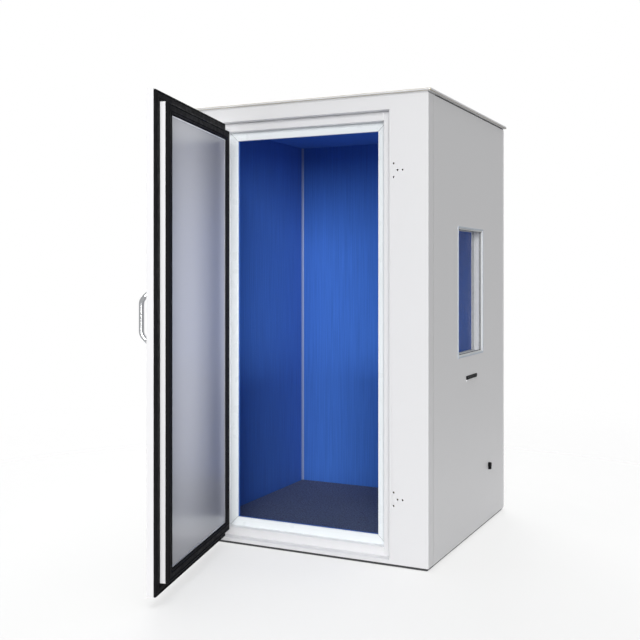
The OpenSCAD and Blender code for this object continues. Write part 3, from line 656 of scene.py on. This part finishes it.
class CabinStage(bpy.types.PropertyGroup):
    """Camera, light and floor."""

    camera_place: bpy.props.FloatVectorProperty(
        name="Camera",
        description="Where the camera stands",
        default=(2.1193, -4.7521, 1.3568),
        subtype="XYZ",
        size=3,
    )
    camera_heading: bpy.props.FloatProperty(
        name="Heading",
        description="Turn of the camera to the left",
        default=math.radians(25.983),
        subtype="ANGLE",
    )
    lens: bpy.props.FloatProperty(
        name="Lens", description="Focal length in mm on a 36 mm sensor", default=53.665
    )
    shift: bpy.props.FloatProperty(name="Shift", description="Vertical shift of the lens", default=-0.073)
    key: bpy.props.FloatProperty(
        name="Key light", description="Soft light in front, to the right, in W/m2", default=2.5, min=0.0
    )
    key_from: bpy.props.FloatVectorProperty(
        name="Key direction",
        description="Where the key light comes from",
        default=(0.37, -0.93, 0.20),
        subtype="DIRECTION",
        size=3,
    )
    room_power: power_property("Room light", "Light under the ceiling lamp", 1.7)
    fill_power: power_property("Room fill", "Soft light from the middle of the room up to the ceiling", 3.6)
    panel_power: power_property("Panel light", "Tall soft light beside the open door's panel", 2.8)
    jamb_power: power_property("Jamb light", "Narrow light into the corner between door and doorway", 1.0)
    mirrored: bpy.props.FloatProperty(
        name="Mirrored light", description="Share of the white surroundings seen in reflections", default=0.4
    )
    back: bpy.props.FloatProperty(
        name="Back light", description="Soft light from behind, to the left, in W/m2", default=1.3, min=0.0
    )
    overhead: bpy.props.FloatProperty(
        name="Overhead light", description="Light from straight above, in W/m2", default=1.6, min=0.0
    )
    ambient: bpy.props.FloatProperty(
        name="Ambient", description="Strength of the light from all round", default=0.13, min=0.0
    )


# Each material's maker, its colour's property and its settings
FINISHES = {
    "white_steel": (powder_coat, "paint", {}),
    "grey_laminate": (satin_laminate, "grey_panel", {}),
    "blue_cloth": (acoustic_cloth, "cloth", {}),
    "loop_carpet": (loop_carpet, "carpet", {}),
    "black_seal": (seal_rubber, "rubber", {}),
    "roof_rubber": (roof_seal_lit_front, "roof_rubber", {}),
    "bead_rubber": (seal_rubber, "bead_rubber", {}),
    "mat_rubber": (granulate_rubber, "granulate", {}),
    "white_profile": (mitred_profile, "frame_white", {}),
    "pale_trim": (powder_coat, "pale_trim", {"rough": 0.35}),
    "pale_anodised": (powder_coat, "pale_anodised", {"rough": 0.35}),
    "satin_aluminium": (brushed_metal, "satin", {"rough": 0.36}),
    "brushed_steel": (brushed_metal, "brushed", {"rough": 0.3, "upright": False}),
    "polished_steel": (polished_metal, "polished", {}),
    "black_moulding": (moulded_plastic, "black_plastic", {"rough": 0.45, "gloss": 0.05}),
    "white_moulding": (moulded_plastic, "white_plastic", {"rough": 0.35}),
    "fan_moulding": (moulded_plastic, "fan_grey", {"rough": 0.5}),
    "opal_diffuser": (opal_plastic, "opal", {"glow": 1.5}),
    "window_glass": (clear_glass, "glass", {}),
    "mineral_wool": (mineral_wool, "wool", {}),
    "particle_board": (particle_board, "board", {}),
    "phosphated_steel": (brushed_metal, "steel", {"rough": 0.55}),
}


def finish(name):
    """The material of that name, made when it is first wanted."""
    made = bpy.data.materials.get(name)
    if made:
        return made
    maker, colour, settings = FINISHES[name]
    return maker(name, getattr(bpy.context.scene.cabin_colours, colour), **settings)


# ---------------------------------------------------------------- operators


class CABIN_OT_shell(bpy.types.Operator):
    """Paint and round the outer walls, the roof and the panels' cores"""

    bl_idname = "cabin.shell"
    bl_label = "Outer shell"

    def execute(self, context):
        sizes = context.scene.cabin_sizes
        white = finish("white_steel")
        skins = ("left_wall_skin", "right_wall_skin", "back_wall_skin", "floor_pan", "roof_cowl")
        dress(white, *skins, edge=sizes.sheet_edge, clamp=False)
        dress(white, "roof_cap", edge=sizes.roof_edge, segments=5, clamp=False)
        cores = ("left_wall_core", "right_wall_core", "back_wall_core", "front_core", "roof_core")
        dress(finish("mineral_wool"), *cores)
        dress(finish("particle_board"), "floor_core", "front_board")
        dress(finish("roof_rubber"), "roof_seal", edge=sizes.small_edge)
        dress(finish("mat_rubber"), "isolation_mat", edge=sizes.sheet_edge)
        return {"FINISHED"}


class CABIN_OT_front(bpy.types.Operator):
    """Paint the front frame and its two rebate steps"""

    bl_idname = "cabin.front"
    bl_label = "Front frame"

    def execute(self, context):
        sizes = context.scene.cabin_sizes
        dress(finish("white_steel"), "front_skin", "rebate_frame", edge=sizes.sheet_edge, clamp=False)
        dress(finish("white_profile"), "inner_frame", edge=sizes.profile_edge)
        return {"FINISHED"}


class CABIN_OT_room(bpy.types.Operator):
    """Line the room with cloth and carpet and finish its corners"""

    bl_idname = "cabin.room"
    bl_label = "Room"

    def execute(self, context):
        sizes = context.scene.cabin_sizes
        linings = ("left_lining", "right_lining", "back_lining", "front_lining", "ceiling_lining")
        dress(finish("blue_cloth"), *linings, edge=sizes.cloth_edge)
        dress(finish("loop_carpet"), "carpet", edge=sizes.cloth_edge)
        dress(finish("pale_trim"), "corner_trims", edge=sizes.small_edge)
        return {"FINISHED"}


class CABIN_OT_window(bpy.types.Operator):
    """Finish the window: trims, reveal, panes and glazing seals"""

    bl_idname = "cabin.window"
    bl_label = "Window"

    def execute(self, context):
        sizes = context.scene.cabin_sizes
        trims = ("window_outer_trim", "window_inner_trim")
        dress(finish("white_steel"), "window_reveal", edge=sizes.small_edge)
        dress(finish("pale_anodised"), *trims, edge=sizes.small_edge)
        dress(finish("window_glass"), "window_outer_glass", "window_inner_glass", edge=sizes.small_edge)
        dress(finish("bead_rubber"), "glazing_seals", edge=sizes.small_edge)
        mesh = bmesh.new()
        half = sizes.lip / 2
        low, high = (Vector(corner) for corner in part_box("window_outer_glass"))
        inset = sizes.bead_width
        for face in (low.x - half, high.x + half):
            profile = [(0.0, -half), (sizes.lip, -half), (sizes.lip, half), (0.0, half)]
            inner_low = (low.y + inset, low.z + inset)
            add_mitred(mesh, inner_low, (high.y - inset, high.z - inset), profile, -face)
        lips = finish("black_seal")
        quarter = Matrix.Rotation(math.radians(90), 4, "Z")
        finish_piece(mesh, "glazing_lips", lips, "booth", False, turn=quarter)
        return {"FINISHED"}


class CABIN_OT_connections(bpy.types.Operator):
    """Finish the socket strip and the cable outlet"""

    bl_idname = "cabin.connections"
    bl_label = "Sockets and cable outlet"

    def execute(self, context):
        sizes = context.scene.cabin_sizes
        dress(finish("black_moulding"), "jack_strip", "cable_outlet", edge=sizes.small_edge)
        dress(finish("black_moulding"), "jack_sockets", edge=sizes.small_edge / 2)
        dress(finish("white_steel"), "jack_ledge", edge=sizes.small_edge)
        low, high = (Vector(corner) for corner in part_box("jack_sockets"))
        radius = (high.z - low.z) / 2
        bore = sizes.socket_bore
        lip, wall, depth, proud = 0.5 * MM, 0.9 * MM, 1.5 * MM, 0.1 * MM
        rim = [(bore, -depth), (bore + lip, 0.0), (bore + wall, -proud), (bore + wall, -depth)]
        mesh = bmesh.new()
        for i in range(sizes.socket_count):
            y = low.y + radius + (high.y - low.y - 2 * radius) * i / (sizes.socket_count - 1)
            add_lathe(mesh, (high.x + proud, y, (low.z + high.z) / 2), (1, 0, 0), rim, closed=True)
        steel = finish("polished_steel")
        finish_piece(mesh, "socket_contact_rings", steel, "booth", True)
        return {"FINISHED"}


class CABIN_OT_hinges(bpy.types.Operator):
    """Finish the hinges, their pins, washers and screws"""

    bl_idname = "cabin.hinges"
    bl_label = "Hinges"

    def execute(self, context):
        sizes = context.scene.cabin_sizes
        dress(finish("brushed_steel"), "hinge_frame_plates", "door_hinges", edge=sizes.small_edge)
        dress(finish("polished_steel"), "hinge_pins", edge=sizes.small_edge)
        dress(finish("polished_steel"), "hinge_frame_screws", "door_hinge_screws", edge=sizes.small_edge)
        dress(finish("white_moulding"), "hinge_washers", edge=sizes.small_edge / 2)
        dress(finish("phosphated_steel"), "hinge_backers", edge=sizes.small_edge)
        return {"FINISHED"}


class CABIN_OT_ventilation(bpy.types.Operator):
    """Finish the fan, the ceiling grille and the air inlet"""

    bl_idname = "cabin.ventilation"
    bl_label = "Ventilation"

    def execute(self, context):
        sizes = context.scene.cabin_sizes
        dress(finish("fan_moulding"), "fan_ring", "fan_rotor", edge=sizes.small_edge)
        dress(finish("white_moulding"), "ceiling_grille", edge=sizes.small_edge)
        dress(finish("white_steel"), "inlet_duct", "inlet_louvre", edge=sizes.small_edge)
        dress(finish("satin_aluminium"), "inlet_inner_grille", edge=sizes.small_edge)
        return {"FINISHED"}


class CABIN_OT_lamp(bpy.types.Operator):
    """Finish the ceiling lamp and the switches"""

    bl_idname = "cabin.lamp"
    bl_label = "Lamp and switches"

    def execute(self, context):
        sizes = context.scene.cabin_sizes
        switches = ("switch_plate", "light_rocker", "fan_rocker")
        dress(finish("white_moulding"), "lamp_base", *switches, edge=sizes.small_edge)
        dress(finish("opal_diffuser"), "lamp_diffuser", edge=sizes.small_edge)
        return {"FINISHED"}


def seal_profile(width, thick, rounding, groove):
    """Section of a door seal: rounded shoulders and a raised middle band between two grooves."""
    rim = 1 * MM
    left = arc((rim + rounding, thick - rounding), rounding, 180, 90, 5)
    right = arc((width - rim - rounding, thick - rounding), rounding, 90, 0, 5)
    dips = []
    for middle in (GROOVE_PLACE * width, (1 - GROOVE_PLACE) * width):
        dips += arc((middle, thick), groove, 180, 360, 6)
    return [(rim, 0.0)] + left + dips + right + [(width - rim, 0.0)]


def seal_rectangle(node):
    """The clear rectangle inside a seal, its width, its base and its thickness, door closed."""
    points = closed_points(node)
    low, high = closed_box(node)
    middle = (low + high) / 2
    half_x = min(abs(p.x - middle.x) for p in points)
    half_z = min(abs(p.z - middle.z) for p in points)
    inner_low = (middle.x - half_x, middle.z - half_z)
    inner_high = (middle.x + half_x, middle.z + half_z)
    return inner_low, inner_high, high.x - middle.x - half_x, low.y, high.y - low.y


class CABIN_OT_door_seals(bpy.types.Operator):
    """Build the two door seals as moulded rubber profiles with mitred corners"""

    bl_idname = "cabin.door_seals"
    bl_label = "Door seals"

    def execute(self, context):
        sizes = context.scene.cabin_sizes
        for node, name in (("leaf_seal", "leaf_seal_profile"), ("core_seal", "core_seal_profile")):
            low, high, width, base, thick = seal_rectangle(node)
            mesh = bmesh.new()
            profile = seal_profile(width, thick, sizes.seal_round, sizes.seal_groove)
            add_mitred(mesh, low, high, profile, base)
            finish_piece(mesh, name, finish("black_seal"), "door", False, (node,))
        return {"FINISHED"}


class CABIN_OT_door_leaf(bpy.types.Operator):
    """Paint the door and fit its grey inner panel with a metal edging"""

    bl_idname = "cabin.door_leaf"
    bl_label = "Door leaf and panel"

    def execute(self, context):
        sizes = context.scene.cabin_sizes
        dress(finish("white_steel"), "door_skin", "door_pan", edge=sizes.sheet_edge)
        dress(finish("mineral_wool"), "door_core")
        dress(finish("grey_laminate"), "door_panel", edge=sizes.small_edge)
        low, high = closed_box("door_panel")
        rim = sizes.edging
        over = 0.8 * MM
        mesh = bmesh.new()
        profile = [(0.0, 0.0), (rim, 0.0), (rim, over * 0.6)]
        profile += [(rim - over, over), (over, over), (0.0, over * 0.4)]
        add_mitred(mesh, (low.x + rim, low.z + rim), (high.x - rim, high.z - rim), profile, high.y)
        finish_piece(mesh, "door_panel_edging", finish("satin_aluminium"), "door", False)
        return {"FINISHED"}


class CABIN_OT_handle(bpy.types.Operator):
    """Build the polished bow handle with round feet"""

    bl_idname = "cabin.handle"
    bl_label = "Door handle"

    def execute(self, context):
        sizes = context.scene.cabin_sizes
        low, high = closed_box("door_handle")
        middle = (low + high) / 2
        radius, bend = sizes.grip_radius, sizes.grip_bend
        out = high.y - low.y - radius
        half = sizes.grip_length / 2
        upper = [
            (middle.x, high.y - p[0], middle.z + p[1])
            for p in arc((out - bend, half), bend, 0, math.degrees(LEG_LEAN), 8)
        ]
        leg_out = out - bend * (1 - math.cos(LEG_LEAN))
        leg_z = half + bend * math.sin(LEG_LEAN)
        foot_z = leg_z + leg_out / math.tan(LEG_LEAN)
        upper.append((middle.x, high.y, middle.z + foot_z))
        lower = [(x, y, 2 * middle.z - z) for x, y, z in reversed(upper)]
        mesh = bmesh.new()
        add_tube(mesh, lower + upper, radius)
        foot = (high.x - low.x) / 2
        step = sizes.foot_height
        rounding = step * 0.4
        outline = [(foot, 0.0)] + arc((foot - rounding, step - rounding), rounding, 0, 90, 4)
        for side in (-1, 1):
            centre = (middle.x, high.y, middle.z + side * foot_z)
            add_lathe(mesh, centre, (0, -1, 0), outline, 40)
        steel = finish("polished_steel")
        finish_piece(mesh, "bow_handle", steel, "door", True, ("door_handle",))
        return {"FINISHED"}


class CABIN_OT_stage(bpy.types.Operator):
    """Set up the pale floor, the soft light and the camera"""

    bl_idname = "cabin.stage"
    bl_label = "Stage"

    def execute(self, context):
        scene = context.scene
        stage = scene.cabin_stage
        self.add_floor(scene)
        self.add_world(scene, stage)
        self.add_camera(scene, stage)
        for name, source, setting, disc in SUNS:
            if isinstance(source, str):
                source = getattr(stage, source)
            self.add_sun(scene, name, source, getattr(stage, setting), disc)
        low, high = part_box("lamp_diffuser")
        lamp = Vector(((low[0] + high[0]) / 2, (low[1] + high[1]) / 2, low[2] - LAMP_CLEARANCE))
        below = lamp - Vector((0.0, 0.0, 1.0))
        room_light = ("room_light", lamp, below, ROOM_LIGHT_SIZE, "room_power", 180)
        for name, place, target, size, setting, spread in (PANEL_LIGHT, JAMB_LIGHT, room_light, ROOM_FILL):
            self.add_light(scene, name, place, target, size, getattr(stage, setting), spread)
        scene.view_settings.view_transform = "Standard"
        return {"FINISHED"}

    def add_floor(self, scene):
        mesh = bmesh.new()
        half = FLOOR_HALF
        corners = ((-half, -half), (half, -half), (half, half), (-half, half))
        mesh.faces.new([mesh.verts.new((x, y, 0.0)) for x, y in corners])
        data = bpy.data.meshes.new("studio_floor")
        mesh.to_mesh(data)
        mesh.free()
        paint = Paint("studio_floor", 0.7)
        cloud = paint.noise(1.5)
        colour = scene.cabin_colours.floor
        paint.feed("Base Color", paint.blend(cloud, tone(colour, 0.995), tone(colour, 1.0)))
        away = (paint.axis(0) ** 2.0 + (paint.axis(1) - FADE_MIDDLE_Y) ** 2.0) ** 0.5
        paint.feed("Alpha", paint.band(away, FADE_START, FADE_END, FLOOR_COVER, 0.0))
        data.materials.append(paint.material)
        floor = bpy.data.objects.new("studio_floor", data)
        scene.collection.objects.link(floor)

    def add_world(self, scene, stage):
        """Adds light from all round, and white surroundings for the camera and for reflections."""
        world = bpy.data.worlds.new("studio")
        world.use_nodes = True
        graph = Graph(world.node_tree)
        plain = graph.tree.nodes["Background"]
        plain.inputs["Color"].default_value = WHITE
        plain.inputs["Strength"].default_value = stage.ambient
        seen = graph.node("ShaderNodeBackground", {}, {"Color": WHITE})
        glossy = graph.node("ShaderNodeLightPath", output="Is Glossy Ray")
        camera = graph.node("ShaderNodeLightPath", output="Is Camera Ray")
        share = glossy * stage.mirrored + camera
        mixed = graph.node("ShaderNodeMixShader", {}, [share, Sock(graph, plain.outputs[0]), seen])
        graph.put(graph.tree.nodes["World Output"].inputs["Surface"], mixed)
        scene.world = world

    def add_camera(self, scene, stage):
        data = bpy.data.cameras.new("camera")
        data.lens = stage.lens
        data.sensor_width = 36.0
        data.shift_y = stage.shift
        camera = bpy.data.objects.new("camera", data)
        camera.location = stage.camera_place
        camera.rotation_euler = (math.radians(90), 0.0, stage.camera_heading)
        scene.collection.objects.link(camera)
        scene.camera = camera

    def add_light(self, scene, name, place, target, size, power, spread):
        """Adds a soft light that points at target and shines spread degrees wide."""
        data = bpy.data.lights.new(name, "AREA")
        data.shape = "ELLIPSE"
        data.size, data.size_y = size
        data.energy = power
        data.spread = math.radians(spread)
        light = bpy.data.objects.new(name, data)
        light.location = place
        aim = Vector(target) - Vector(place)
        light.rotation_euler = aim.to_track_quat("-Z", "Y").to_euler()
        light.visible_camera = False
        light.visible_glossy = False
        scene.collection.objects.link(light)

    def add_sun(self, scene, name, source, strength, spread):
        """Adds even light from the direction of source, its disc spread degrees wide."""
        data = bpy.data.lights.new(name, "SUN")
        data.energy = strength
        data.angle = math.radians(spread)
        light = bpy.data.objects.new(name, data)
        light.location = SUN_DISTANCE * Vector(source).normalized()
        light.rotation_euler = (-Vector(source)).to_track_quat("-Z", "Y").to_euler()
        scene.collection.objects.link(light)


OPERATORS = (
    CABIN_OT_stage,
    CABIN_OT_shell,
    CABIN_OT_front,
    CABIN_OT_room,
    CABIN_OT_window,
    CABIN_OT_connections,
    CABIN_OT_hinges,
    CABIN_OT_ventilation,
    CABIN_OT_lamp,
    CABIN_OT_door_leaf,
    CABIN_OT_door_seals,
    CABIN_OT_handle,
)


class CABIN_PT_panel(bpy.types.Panel):
    """Lists the cabin's settings and the operators that build it"""

    bl_idname = "CABIN_PT_panel"
    bl_label = "Hearing-test cabin"
    bl_space_type = "VIEW_3D"
    bl_region_type = "UI"
    bl_category = "Cabin"

    def draw(self, context):
        for group in ("cabin_colours", "cabin_sizes", "cabin_stage"):
            settings = getattr(context.scene, group)
            box = self.layout.box()
            for name in settings.__annotations__:
                box.prop(settings, name)
        for operator in OPERATORS:
            self.layout.operator(operator.bl_idname)


GROUPS = {"cabin_colours": CabinColours, "cabin_sizes": CabinSizes, "cabin_stage": CabinStage}
CLASSES = (*GROUPS.values(), *OPERATORS, CABIN_PT_panel)


def register():
    for cls in CLASSES:
        bpy.utils.register_class(cls)
    for name, group in GROUPS.items():
        setattr(bpy.types.Scene, name, bpy.props.PointerProperty(type=group))


def unregister():
    for name in GROUPS:
        delattr(bpy.types.Scene, name)
    for cls in reversed(CLASSES):
        bpy.utils.unregister_class(cls)


def main():
    register()
    for operator in OPERATORS:
        group, name = operator.bl_idname.split(".")
        getattr(getattr(bpy.ops, group), name)()
    bpy.context.view_layer.update()


if __name__ == "__main__":
    main()
